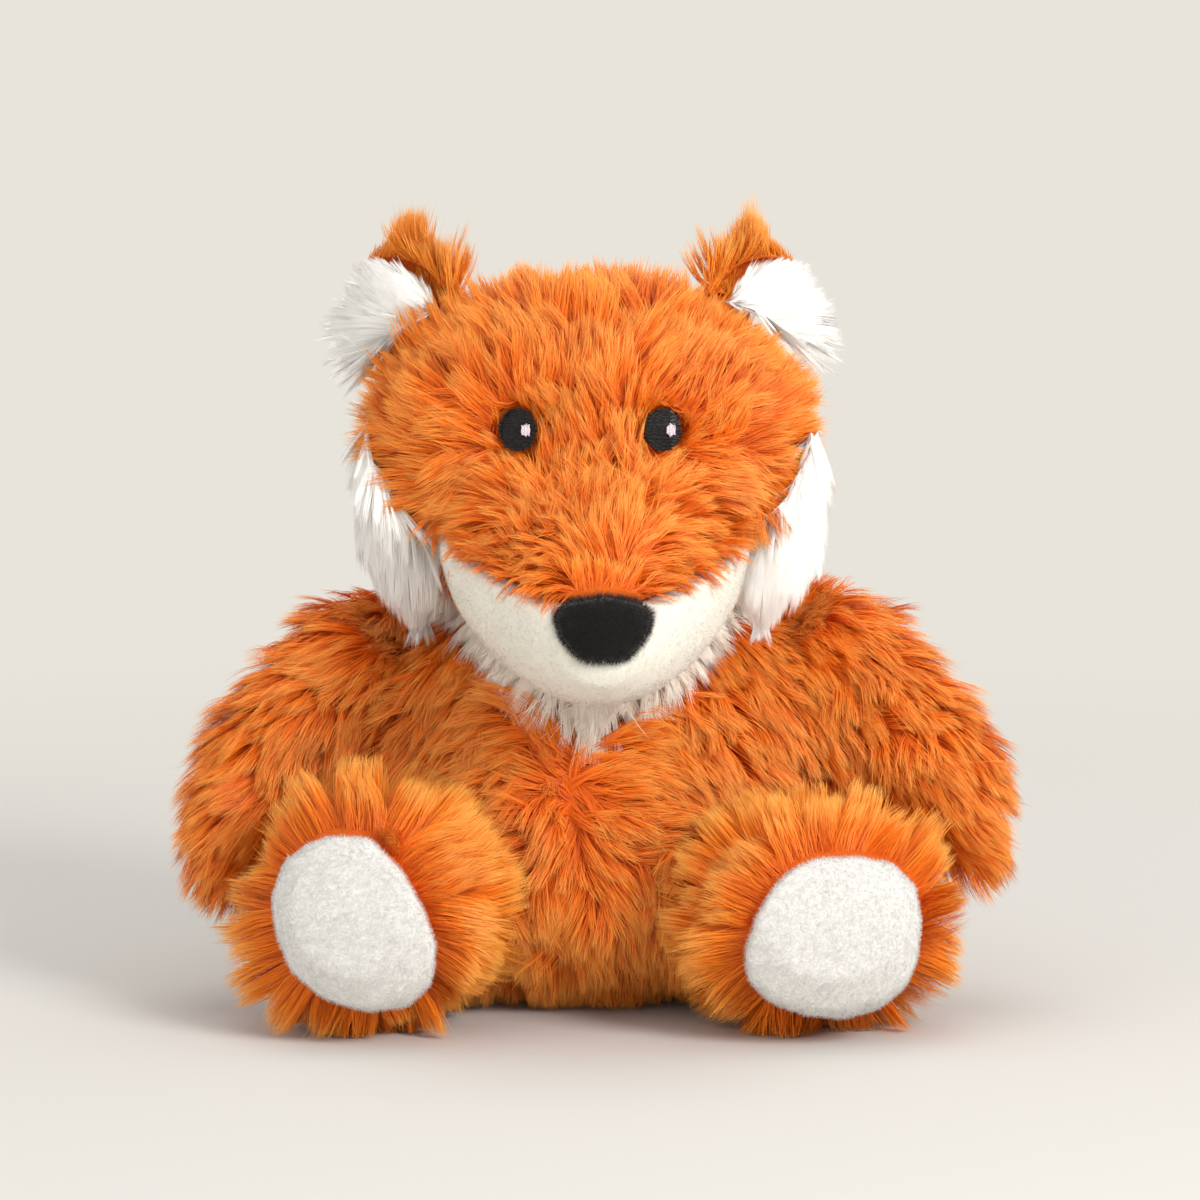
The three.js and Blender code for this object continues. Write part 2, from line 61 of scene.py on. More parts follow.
# Camera and stage
PHOTO_SPAN = 0.360
CAMERA_DISTANCE = 2.40
CAMERA_RISE = math.radians(8)
SENSOR_WIDTH = 36
AIM = Vector((0.0009, -0.02, 0.124))
FLOOR_SIZE = 12.0
FLOOR_NEAR = 0.30
FLOOR_FAR = 0.75
BACKDROP = (0.807, 0.776, 0.708)
FLOOR = (0.675, 0.652, 0.61)
WORLD_LIGHT = (1.0, 1.0, 0.995)
WORLD_STRENGTH = 0.76
LAMP_AIM = (0, 0, 0.12)
# Each lamp's place, width and power
LAMPS = {
    "key": ((1.15, -1.4, 1.1), 0.8, 28),
    "fill": ((-1.4, -1.2, 0.8), 1.4, 4.4),
    "top": ((0.0, 0.4, 1.8), 1.2, 5),
}

# Skins: their depth under long fur, the grain of their mesh, how they rise toward a seam, and how far
# they keep off the floor
PILE = 8.0 * MM
VOXEL = 3.0 * MM
SEAM_FADE = 10.0 * MM
SEAM_REACH = 1.6 * MM
FLOOR_GAP = 0.4 * MM

# Fur: steps along a strand, width of a small tuft, strands to an area, and how single strands differ
STEPS = 3
SUBTUFT = 1.8 * MM
DENSITY = 3.4 / MM ** 2
QUICK_WIDTH = 1.8
MAX_STRANDS = 36000
STRAY_SHARE = 0.02
STRAY_FRIZZ = 4
TUFT_UNEVEN = 0.1
WIDTH_UNEVEN = 0.25
ROLL = 0.9
TAPER = 0.3

# White fibres let the light through, so their strands cast no shadow.
PALE_FUR = ("white",)

# Tousled patches: how far their tufts and locks turn, rise and come apart
RUFFLE_TUFTS, RUFFLE_LOCKS = 1.2, 1
RUFFLE_LIFT = 0.6
RUFFLE_APART = 0.9

# A strand's shade: what its lock, its small tuft and itself add, and the contrast between strands
LOCK_TONE, TUFT_TONE, OWN_TONE = 0.25, 0.3, 0.45
TONE_CONTRAST = 1.4

# Plush and fleece: strands to a square millimetre, and how they stand
PLUSH_DENSITY = 5.0
PLUSH_UNEVEN = 0.2
PLUSH_ROOT = 0.2 * MM
PLUSH_SOFTNESS = 0.98

# Stitches: points along one, twist of its thread, and how ragged its ends are
STITCH_POINTS = 36
STITCH_WAVE = 0.35 * MM
STITCH_TWIST = 1.3 * MM
STITCH_ENDS = (-0.3, 0.7)

rng = np.random.default_rng(20)


# Rows of vectors

def unit(v):
    return v / np.maximum(np.linalg.norm(v, axis=-1, keepdims=True), 1e-9)


def dots(a, b):
    return np.sum(a * b, axis=-1, keepdims=True)


def smoothstep(low, high, x):
    t = np.clip((x - low) / (high - low), 0, 1)
    return t * t * (3 - 2 * t)


def falloff(distance, radius):
    """1 at no distance, about a third at the radius, and soon 0 beyond."""
    return np.exp(-(distance / radius) ** 2)


def columns(x, y, z):
    """Rows of vectors from three columns, each of which may be one number."""
    return np.stack(np.broadcast_arrays(x, y, z), axis=1)


def turned(v, axis, angle):
    """Each row turned about its own axis."""
    c, s = np.cos(angle)[:, None], np.sin(angle)[:, None]
    return v * c + np.cross(axis, v) * s + axis * dots(axis, v) * (1 - c)


def noise(count, spread):
    """Normal random numbers, without their far ends."""
    return spread * rng.standard_normal(count).clip(-3, 3)


def corners_of(node):
    low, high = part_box(node)
    return np.array(low), np.array(high)


def middle_of(node):
    low, high = corners_of(node)
    return (low + high) / 2


# Meshes and skins

def mesh_object(name, points, faces):
    mesh = bpy.data.meshes.new(name)
    mesh.from_pydata(points, [], faces)
    mesh.update()
    obj = bpy.data.objects.new(name, mesh)
    bpy.context.collection.objects.link(obj)
    return obj


def applied(obj):
    """Replaces an object's mesh by what its modifiers make of it."""
    graph = bpy.context.evaluated_depsgraph_get()
    mesh = bpy.data.meshes.new_from_object(obj.evaluated_get(graph))
    obj.modifiers.clear()
    obj.data = mesh
    return obj


def joined_nodes(nodes):
    points, faces = [], []
    for node in nodes:
        mesh = frame["nodes"][node].data
        start = len(points)
        points += [tuple(v.co) for v in mesh.vertices]
        faces += [tuple(start + i for i in p.vertices) for p in mesh.polygons]
    return points, faces


def distances(points, nodes):
    """How far each point is from the surface of the nodes."""
    if not nodes:
        return np.full(len(points), 1.0)
    tree = BVHTree.FromPolygons(*joined_nodes(nodes))
    return np.array([tree.find_nearest(Vector(p))[3] for p in points])


def coordinates(mesh):
    points = np.empty(len(mesh.vertices) * 3, np.float32)
    mesh.vertices.foreach_get("co", points)
    return points.reshape(-1, 3).astype(float)


def vertex_normals(mesh):
    normals = np.empty(len(mesh.vertices) * 3, np.float32)
    mesh.vertex_normals.foreach_get("vector", normals)
    return normals.reshape(-1, 3).astype(float)


def place(mesh, points):
    mesh.vertices.foreach_set("co", points.astype(np.float32).ravel())
    mesh.update()


def make_skin(name, nodes, neighbours, inset=PILE, flush=0.0, voxel=VOXEL, smooth=8, shift=None):
    """A sewn skin as one smooth closed mesh. It is set in under its pile, but only by `flush` at a seam."""
    obj = mesh_object(name, *joined_nodes(nodes))
    remesh = obj.modifiers.new("remesh", "REMESH")
    remesh.mode = "VOXEL"
    remesh.voxel_size = voxel
    smoothing = obj.modifiers.new("smooth", "SMOOTH")
    smoothing.factor = 0.5
    smoothing.iterations = smooth
    applied(obj)
    mesh = obj.data
    points = coordinates(mesh)
    gaps = distances(points, neighbours)
    depth = flush + (inset - flush) * smoothstep(0, SEAM_FADE, gaps)
    points -= vertex_normals(mesh) * depth[:, None]
    if shift is not None:
        points += shift(points)
    points[:, 2] = np.maximum(points[:, 2], FLOOR_GAP)
    place(mesh, points)
    mesh.polygons.foreach_set("use_smooth", np.ones(len(mesh.polygons), bool))
    attribute = mesh.attributes.new("seam_gap", "FLOAT", "POINT")
    attribute.data.foreach_set("value", gaps.astype(np.float32))
    return obj


# Fur

def scatter(mesh, count):
    """Random places spread evenly over a mesh, with their smooth normals and seam distances."""
    mesh.calc_loop_triangles()
    corners = np.empty(len(mesh.loop_triangles) * 3, np.int32)
    mesh.loop_triangles.foreach_get("vertices", corners)
    corners = corners.reshape(-1, 3)
    points, normals = coordinates(mesh), vertex_normals(mesh)
    gaps = np.empty(len(mesh.vertices), np.float32)
    mesh.attributes["seam_gap"].data.foreach_get("value", gaps)
    a, b, c = (points[corners[:, i]] for i in range(3))
    areas = np.linalg.norm(np.cross(b - a, c - a), axis=1) / 2
    chosen = rng.choice(len(corners), count, p=areas / areas.sum())
    u, v = rng.random(count), rng.random(count)
    over = u + v > 1
    u[over], v[over] = 1 - u[over], 1 - v[over]
    shares = np.stack([1 - u - v, u, v], axis=1)
    at = corners[chosen]
    mixed = [np.einsum("ni,nij->nj", shares, values[at]) for values in (points, normals, gaps[:, None])]
    return mixed[0], unit(mixed[1]), mixed[2][:, 0]


def area_of(mesh):
    return sum(p.area for p in mesh.polygons)


def nearest(seeds, points):
    tree = KDTree(len(seeds))
    for i, seed in enumerate(seeds):
        tree.insert(Vector(seed), i)
    tree.balance()
    return np.array([tree.find(Vector(p))[1] for p in points])


def grown(points, normals, style, comb, swings, lengths, lifts):
    """Curves that rise from the skin and lie over along the comb."""
    wish = unit(comb(points))
    outward = dots(wish, normals)
    lie = unit(wish - normals * outward + normals * np.maximum(outward, 0) * style["stand"])
    lie = turned(lie, normals, swings)
    rows, at = [points], points
    for step in np.linspace(0, 1, STEPS + 1)[1:]:
        rise = lifts * (1.4 - style["bend"] * step)
        ahead = lie * np.cos(rise)[:, None] + normals * np.sin(rise)[:, None]
        ahead[:, 2] -= style["droop"] * step
        ahead += style["straighten"] * step * wish
        at = at + unit(ahead) * (lengths / STEPS)[:, None]
        rows.append(at)
    return np.stack(rows, axis=1)


def fur_curves(skin, roots, style, comb, trim, ruffle):
    """Strands gathered into small tufts, and those into locks. Gives their points and shades from 0 to 1."""
    area = area_of(skin.data)
    seeds, seed_normals, _ = scatter(skin.data, max(8, int(area / style["lock"] ** 2)))
    subs, sub_normals, _ = scatter(skin.data, max(30, int(area / SUBTUFT ** 2)))
    lock = nearest(seeds, subs)
    tuft = nearest(subs, roots)
    steps = np.linspace(0, 1, STEPS + 1)
    locks, tufts, count = len(seeds), len(subs), len(roots)

    lock_length = style["length"] * (1 + noise(locks, style["uneven"])).clip(0.5, 1.5)
    lock_swing = noise(locks, style["messy"])
    lock_lift = style["lift"] * (1 + noise(locks, style["rise"])).clip(0.3, 1.9)
    tuft_length = lock_length[lock] * (1 + noise(tufts, TUFT_UNEVEN))
    tuft_swing = lock_swing[lock] + noise(tufts, style["split"])
    tuft_lift = lock_lift[lock] * (1 + noise(tufts, style["rise"]))
    hold = np.ones(tufts)
    if trim is not None:
        lock_length = lock_length * trim(seeds)
        tuft_length = tuft_length * trim(subs)
    if ruffle is not None:
        tuft_swing = tuft_swing + noise(tufts, RUFFLE_TUFTS) * ruffle(subs)
        lock_swing = lock_swing + noise(locks, RUFFLE_LOCKS) * ruffle(seeds)
        tuft_lift = tuft_lift * (1 + RUFFLE_LIFT * ruffle(subs))
        hold = 1 - RUFFLE_APART * ruffle(subs).clip(0, 1)

    lock_curves = grown(seeds, seed_normals, style, comb, lock_swing, lock_length, lock_lift)
    free = grown(subs, sub_normals, style, comb, tuft_swing, tuft_length, tuft_lift)
    beside = (subs - seeds[lock])[:, None, :] * (1 - 0.5 * steps)[None, :, None]
    pull = (style["clump"] * hold[:, None] * steps ** 0.8)[:, :, None]
    curves = free * (1 - pull) + (lock_curves[lock] + beside) * pull

    reach = (1 + noise(count, style["ragged"])).clip(0.55, 1.2)
    reached = np.clip(reach[:, None] * steps[None, :], 0, 1) * STEPS
    whole = np.minimum(reached.astype(int), STEPS - 1)
    rest = (reached - whole)[:, :, None]
    row = tuft[:, None]
    along = curves[row, whole] * (1 - rest) + curves[row, whole + 1] * rest
    apart = (roots - subs[tuft])[:, None, :]
    strands = along + apart * (1 - style["pinch"] * steps)[None, :, None]
    loose = style["frizz"] * np.where(rng.random(count) < STRAY_SHARE, STRAY_FRIZZ, 1)[:, None, None]
    frizz = rng.standard_normal((count, 1, 3)) * loose * (steps ** 1.5)[None, :, None]
    kinks = rng.standard_normal((count, STEPS + 1, 3)) * style["kink"] * (steps > 0)[None, :, None]
    strands = strands + frizz + kinks
    strands[:, :, 2] = np.maximum(strands[:, :, 2], FLOOR_GAP * (1 + rng.random((count, 1))))
    tone = LOCK_TONE * rng.random(locks)[lock][tuft] + TUFT_TONE * rng.random(tufts)[tuft]
    tone = tone + OWN_TONE * rng.random(count)
    return strands, (0.5 + TONE_CONTRAST * (tone - 0.5)).clip(0, 1)


def with_tips(rows, values):
    """Each strand's rows with its last value, the one at its tip, after them."""
    return np.concatenate([rows, values[:, -1:]], axis=1)


def strand_mesh(name, curves, normals, tone, width, softness):
    """Ribbons that narrow to a point. Their UV map holds the shade across, and root to tip upward."""
    count, points = curves.shape[0], curves.shape[1]
    steps = points - 1
    tangents = unit(np.gradient(curves, axis=1))
    across = unit(np.cross(tangents, normals[:, None, :]))
    roll = rng.uniform(-ROLL, ROLL, count)[:, None, None] * (1 - softness)
    across = across * np.cos(roll) + np.cross(across, tangents) * np.sin(roll)
    taper = (1 - TAPER * np.linspace(0, 1, points)[:-1] ** 2)[None, :, None]
    half = (width / 2 * (1 + noise(count, WIDTH_UNEVEN)).clip(0.5, 1.6))[:, None, None] * taper
    shading = unit(np.cross(across, tangents) * (1 - softness) + normals[:, None, :] * softness)
    left = curves[:, :-1] - across[:, :-1] * half
    right = curves[:, :-1] + across[:, :-1] * half
    vertices = with_tips(np.stack([left, right], axis=2).reshape(count, -1, 3), curves)
    vertex_shading = with_tips(np.repeat(shading[:, :-1], 2, axis=1), shading)
    per = vertices.shape[1]
    pattern, sizes, spots = [], [], []
    for k in range(steps - 1):
        pattern += [2 * k, 2 * k + 1, 2 * k + 3, 2 * k + 2]
        spots += [(0, k), (1, k), (1, k + 1), (0, k + 1)]
        sizes.append(4)
    pattern += [2 * steps - 2, 2 * steps - 1, 2 * steps]
    spots += [(0, steps - 1), (1, steps - 1), (0.5, steps)]
    sizes.append(3)
    loops = (np.array(pattern)[None, :] + per * np.arange(count)[:, None]).ravel()
    totals = np.tile(np.array(sizes), count)
    starts = np.concatenate([[0], np.cumsum(totals)[:-1]])
    mesh = bpy.data.meshes.new(name)
    mesh.vertices.add(count * per)
    mesh.vertices.foreach_set("co", vertices.astype(np.float32).ravel())
    mesh.loops.add(len(loops))
    mesh.loops.foreach_set("vertex_index", loops.astype(np.int32))
    mesh.polygons.add(len(totals))
    mesh.polygons.foreach_set("loop_start", starts.astype(np.int32))
    mesh.polygons.foreach_set("use_smooth", np.ones(len(totals), bool))
    spots = np.array(spots, float)
    u = 0.01 + 0.94 * tone[:, None] + 0.03 * spots[None, :, 0]
    v = 0.01 + 0.98 * np.broadcast_to(spots[None, :, 1] / steps, u.shape)
    uv = mesh.uv_layers.new(name="OFBake")
    uv.data.foreach_set("uv", np.stack([u, v], axis=2).astype(np.float32).ravel())
    mesh.update(calc_edges=True)
    mesh.normals_split_custom_set_from_vertices(vertex_shading.reshape(-1, 3))
    obj = bpy.data.objects.new(name, mesh)
    bpy.context.collection.objects.link(obj)
    return obj


def add_strands(name, curves, normals, tone, width, body, material, softness):
    """Strands as pieces, in as many as they need."""
    parts = max(1, math.ceil(len(curves) / MAX_STRANDS))
    for part in range(parts):
        mine = slice(part, None, parts)
        label = f"{name}_{part + 1}" if parts > 1 else name
        obj = strand_mesh(label, curves[mine], normals[mine], tone[mine], width, softness)
        obj.data.materials.append(MATERIALS[material])
        obj.visible_shadow = material not in PALE_FUR
        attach(obj, body)


# Long fur: sizes of strands and locks, how they lie and gather, and how much they differ
STYLE = {
    "length": 16 * MM, "width": 0.19 * MM, "lock": 7 * MM, "density": 1.0, "seam": SEAM_REACH, "soft": 0.42,
    "lift": 0.60, "rise": 0.2, "bend": 0.8, "stand": 0.3, "droop": 0.12, "straighten": 0.0,
    "clump": 0.38, "pinch": 0.1, "uneven": 0.12, "ragged": 0.09, "messy": 0.36, "split": 0.24,
    "frizz": 0.55 * MM, "kink": 0.25 * MM,
}
# What differs in the fine white fur
FINE = {
    "width": 0.24 * MM, "density": 1.5, "soft": 1.0, "lift": 0.14, "rise": 0.02, "clump": 0.0, "pinch": 0,
    "uneven": 0.05, "messy": 0.03, "split": 0.015, "frizz": 0.2 * MM, "kink": 0.05 * MM,
}


def grow_fur(name, skin, body, slot, material, comb, keep=None, clear=None, trim=None, ruffle=None,
             **changes):
    """Covers a skin with long fur where `keep` holds at the root, and `clear` all along the strand.

    `comb` gives the way it lies, `trim` its length and `ruffle` how tousled it is, place by place."""
    style = {**STYLE, **changes}
    share = 1
    count = int(area_of(skin.data) * DENSITY * style["density"] * share)
    roots, normals, gaps = scatter(skin.data, count)
    inside = gaps > style["seam"]
    if keep is not None:
        inside &= keep(roots)
    roots, normals = roots[inside], normals[inside]
    curves, tone = fur_curves(skin, roots, style, comb, trim, ruffle)
    if clear is not None:
        free = np.all([clear(curves[:, k]) for k in range(STEPS + 1)], axis=0)
        curves, normals, tone = curves[free], normals[free], tone[free]
    width = style["width"] * (1 if share == 1 else QUICK_WIDTH)
    add_strands(name, curves, normals, tone, width, body, material, style["soft"])


def grow_plush(name, skin, body, material, length, width, tilt):
    """Covers a skin with the short nap of plush or fleece, which lies over by `tilt`."""
    share = 1
    roots, normals, _ = scatter(skin.data, int(area_of(skin.data) * PLUSH_DENSITY * share / MM ** 2))
    count = len(roots)
    lean = unit(np.cross(rng.standard_normal((count, 3)), normals)) * tilt
    lengths = length * (1 + noise(count, PLUSH_UNEVEN)).clip(0.4, 1.5)
    tips = roots + unit(normals + lean) * lengths[:, None]
    tips[:, 2] = np.maximum(tips[:, 2], FLOOR_GAP)
    curves = np.stack([roots - normals * PLUSH_ROOT, tips], axis=1)
    add_strands(name, curves, normals, rng.random(count), width, body, material, PLUSH_SOFTNESS)


# Materials

# Where a strand's colours lie from root to tip, and where its shades lie among the strands. The darker root
# is painted shade among the roots, and the lighter tip is a painted highlight.
ALONG = (0.0, 0.55, 1.0)
ACROSS = (0.15, 0.4, 0.65, 0.9)


def linear(r, g, b):
    """A colour as it looks on screen, 0 to 255, in the linear values that nodes take."""
    return tuple(((c / 255 + 0.055) / 1.055) ** 2.4 if c > 10 else c / 255 / 12.92 for c in (r, g, b))


def node_material(name):
    material = bpy.data.materials.new(name)
    material.use_nodes = True
    nodes, links = material.node_tree.nodes, material.node_tree.links
    return material, nodes, links, nodes["Principled BSDF"]


def ramp_node(nodes, places, colours):
    ramp = nodes.new("ShaderNodeValToRGB")
    elements = ramp.color_ramp.elements
    while len(elements) < len(places):
        elements.new(0.5)
    for element, where, colour in zip(elements, places, colours):
        element.position = where
        element.color = (*colour, 1)
    return ramp


def fur_material(name, root, body, tip, streaks, roughness=0.55, sheen=0.2, tint=(1.0, 1.0, 1.0)):
    """Strand colour from its UV map alone: root to tip upward, and shades from strand to strand across.

    Colours are as they look on screen, 0 to 255."""
    material, nodes, links, shader = node_material(name)
    uv = nodes.new("ShaderNodeUVMap")
    uv.uv_map = "OFBake"
    split = nodes.new("ShaderNodeSeparateXYZ")
    links.new(uv.outputs["UV"], split.inputs[0])
    along = ramp_node(nodes, ALONG, [linear(*colour) for colour in (root, body, tip)])
    links.new(split.outputs["Y"], along.inputs["Fac"])
    across = ramp_node(nodes, ACROSS, streaks)
    links.new(split.outputs["X"], across.inputs["Fac"])
    mix = nodes.new("ShaderNodeMix")
    mix.data_type = "RGBA"
    mix.blend_type = "MULTIPLY"
    mix.inputs["Factor"].default_value = 1
    links.new(along.outputs["Color"], mix.inputs["A"])
    links.new(across.outputs["Color"], mix.inputs["B"])
    links.new(mix.outputs["Result"], shader.inputs["Base Color"])
    shader.inputs["Roughness"].default_value = roughness
    shader.inputs["Specular IOR Level"].default_value = 0.35
    shader.inputs["Sheen Weight"].default_value = sheen
    shader.inputs["Sheen Roughness"].default_value = 0.4
    shader.inputs["Sheen Tint"].default_value = (*tint, 1)
    return material


def cloth_material(name, dark, light, scale, bump, roughness=0.85, sheen=0.3, shine=0.2):
    """Cloth, plush or thread: a fine noise in two tones, 0 to 255, with its bump in millimetres."""
    material, nodes, links, shader = node_material(name)
    where = nodes.new("ShaderNodeTexCoord")
    grain = nodes.new("ShaderNodeTexNoise")
    grain.inputs["Scale"].default_value = scale
    grain.inputs["Detail"].default_value = 4
    links.new(where.outputs["Object"], grain.inputs["Vector"])
    ramp = ramp_node(nodes, (0.3, 0.7), (linear(*dark), linear(*light)))
    links.new(grain.outputs["Fac"], ramp.inputs["Fac"])
    links.new(ramp.outputs["Color"], shader.inputs["Base Color"])
    relief = nodes.new("ShaderNodeBump")
    relief.inputs["Distance"].default_value = bump * MM
    links.new(grain.outputs["Fac"], relief.inputs["Height"])
    links.new(relief.outputs["Normal"], shader.inputs["Normal"])
    shader.inputs["Roughness"].default_value = roughness
    shader.inputs["Specular IOR Level"].default_value = shine
    shader.inputs["Sheen Weight"].default_value = sheen
    return material


ORANGE_STREAKS = [(0.74, 0.55, 0.42), (0.95, 0.88, 0.80), (1.0, 1.0, 1.0), (1.0, 1.0, 1.0)]
PALE_STREAKS = [(0.93, 0.925, 0.92), (0.98, 0.98, 0.975), (1.0, 1.0, 1.0), (1.0, 1.0, 1.0)]
NAP_STREAKS = [(0.97, 0.97, 0.968), (0.99, 0.99, 0.99), (1.0, 1.0, 1.0), (1.0, 1.0, 1.0)]
ORANGE_SHEEN = (1.0, 0.60, 0.12)
# Every fur below is darker at its root and lighter at its tip: painted shade among the roots and a painted
# highlight on the tips.
MATERIALS = {
    "orange": fur_material("orange_fur", (250, 114, 7), (255, 129, 9), (255, 184, 84),
                           ORANGE_STREAKS, sheen=0.45, tint=ORANGE_SHEEN),
    # The feet's fur is a lighter copy of the orange fur: painted light on the feet.
    "foot": fur_material("foot_fur_painted_light", (252, 122, 10), (255, 139, 13), (255, 190, 90),
                         ORANGE_STREAKS, sheen=0.45, tint=ORANGE_SHEEN),
    # The ears' fur is a lighter copy of the orange fur: painted light where the ear's back lies in shade.
    "ear": fur_material("ear_fur_painted_light", (254, 144, 36), (255, 160, 50), (255, 194, 104),
                        PALE_STREAKS, sheen=0.6, tint=ORANGE_SHEEN),
    "white": fur_material("white_fur", (244, 241, 236), (248, 246, 241), (251, 249, 245),
                          NAP_STREAKS, roughness=0.7, sheen=0.8),
    "cream": fur_material("cream_fur", (250, 230, 206), (255, 242, 224), (255, 249, 238),
                          NAP_STREAKS, roughness=0.7, sheen=0.8),
    "plush": fur_material("plush_pile", (222, 220, 215), (228, 226, 222), (233, 231, 228),
                          NAP_STREAKS, roughness=0.8, sheen=0.3),
    "cream_pile": fur_material("cream_pile", (250, 245, 230), (252, 248, 235), (253, 250, 239),
                               NAP_STREAKS, roughness=0.8, sheen=0.5),
    "black_pile": fur_material("black_pile", (12, 8, 5), (20, 14, 9), (48, 36, 28),
                               PALE_STREAKS, roughness=0.8, sheen=0.1),
    # The orange backing is darker than the fur: painted shade among the roots, where it shows between the
    # strands.
    "orange_backing_painted_shade": cloth_material("orange_backing_painted_shade", (200, 86, 16), (220, 102, 24), 900, 0.5, sheen=0),
    "white_backing": cloth_material("white_backing", (247, 245, 242), (252, 251, 248), 900, 0.5),
    "cream_plush": cloth_material("cream_plush", (244, 239, 225), (250, 246, 234), 1500, 0.3),
    "white_plush": cloth_material("white_plush", (230, 227, 221), (238, 235, 229), 1100, 0.4),
    "fleece": cloth_material("black_fleece", (10, 9, 8), (26, 23, 21), 1400, 0.4),
    "thread": cloth_material("black_thread", (8, 7, 7), (22, 20, 19), 2500, 0.1,
                             roughness=0.36, sheen=0, shine=0.45),
    "glint": cloth_material("pale_thread", (225, 208, 220), (244, 232, 240), 2500, 0.1, roughness=0.5),
}


def finished(obj, body, slot, material, *nodes, fill=0.6):
    """Dresses a skin: its cloth, its body, its slot and the CAD nodes that it stands for. The slot is not
    used.
    """
    obj.data.materials.clear()
    obj.data.materials.append(MATERIALS[material])
    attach(obj, body)
    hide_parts(*nodes)
    return obj


# The pieces of each body that its neighbours are sewn to
BODY_NODES = {
    "torso": ["torso_cover", "torso_stuffing", "bean_pouch", "chest_bib"],
    "head": ["head_cover", "muzzle_jaw", "head_stuffing", "nose"],
    **{f"arm_{s}": [f"arm_cover_{s}", f"arm_stuffing_{s}"] for s in SIDES},
    **{f"leg_{s}": [f"leg_cover_{s}", f"leg_stuffing_{s}", f"foot_pad_{s}"] for s in SIDES},
    "tail": ["tail_cover", "tail_stuffing", "tail_tip"],
}


def others(own):
    """The pieces that a body's skin may meet at a seam."""
    return [n for body, nodes in BODY_NODES.items() if body != own for n in nodes]


def before(points, node, grow=0.0, behind=10 * MM):
    """Whether a point lies in a piece's outline in front view, down to a little behind the piece."""
    flat = [(x, z) for x, _, z in joined_nodes([node])[0]]
    hull = np.array([flat[i] for i in convex_hull_2d(flat)])
    hull = hull[np.linalg.norm(np.roll(hull, -1, axis=0) - hull, axis=1) > 0.01 * MM]
    edges = np.roll(hull, -1, axis=0) - hull
    outward = unit(np.stack([edges[:, 1], -edges[:, 0]], axis=1))
    outward *= np.sign(dots(outward, hull - hull.mean(axis=0)))
    beyond = (points[:, [0, 2]] @ outward.T - np.sum(hull * outward, axis=1)).max(axis=1)
    return (beyond < grow) & (points[:, 1] < corners_of(node)[1][1] + behind)


def away_from(point, push=(0, 0, 0)):
    """Fur that flows away from a point, and is pushed along a fixed direction too."""
    return lambda points: unit(points - point) + np.array(push)


# Torso, with its bib

def build_torso():
    nodes = BODY_NODES["torso"]
    skin = make_skin("torso_skin", nodes, others("torso"))
    finished(skin, "torso", "orange_fur", "orange_backing_painted_shade", *nodes, fill=0.7)
    low, high = corners_of("chest_bib")
    tip, half = (low[0] + high[0]) / 2 + 4 * MM, (high[0] - low[0]) / 2
    neck = np.array([0, 0, high[2] + 0.01])
    whorl = np.array([tip - 0.008, low[1], low[2] - 0.006])

    def on_bib(points, lower=0.0):
        """Whether a point lies in the bib, which widens upward from its tip."""
        share = (points[:, 2] - low[2]) / (high[2] - low[2])
        reach = half * ((share - 0.27 + lower) / 0.55).clip(0, 1.1)
        return (points[:, 1] < 0) & (np.abs(points[:, 0] - tip) < reach)

    def comb(points):
        """Down from the neck, and apart from a short parting under the bib's tip."""
        fall = unit(points - neck)
        fall[:, 2] -= 0.5 + 2.5 * smoothstep(0.08, 0.03, points[:, 2])
        from_whorl = points - whorl
        from_whorl[:, 2] -= from_whorl[:, 2].clip(-12 * MM, 14 * MM)
        near = smoothstep(0.05, 0.015, np.linalg.norm(from_whorl, axis=1))[:, None]
        return fall * (1 - near) + 1.4 * (unit(from_whorl) + np.array([0, 0, -0.3])) * near

    def bib_comb(points):
        return unit(points - neck) + np.array([0, 0, -0.6])

    grow_fur("torso_fur", skin, "torso", "orange_fur", "orange", comb, keep=lambda p: ~on_bib(p),
             clear=lambda p: ~on_bib(p, 0.12), seam=0)
    tousled = {"density": 2.0, "messy": 0.4, "lift": 0.5, "split": 0.3, "frizz": 0.9 * MM, "width": 0.18 * MM}
    grow_fur("bib_fur", skin, "torso", "cream_fur", "cream", bib_comb, keep=on_bib, length=15 * MM,
             seam=0.2 * MM, **{**FINE, **tousled})


# Head, with its muzzle, nose and eyes

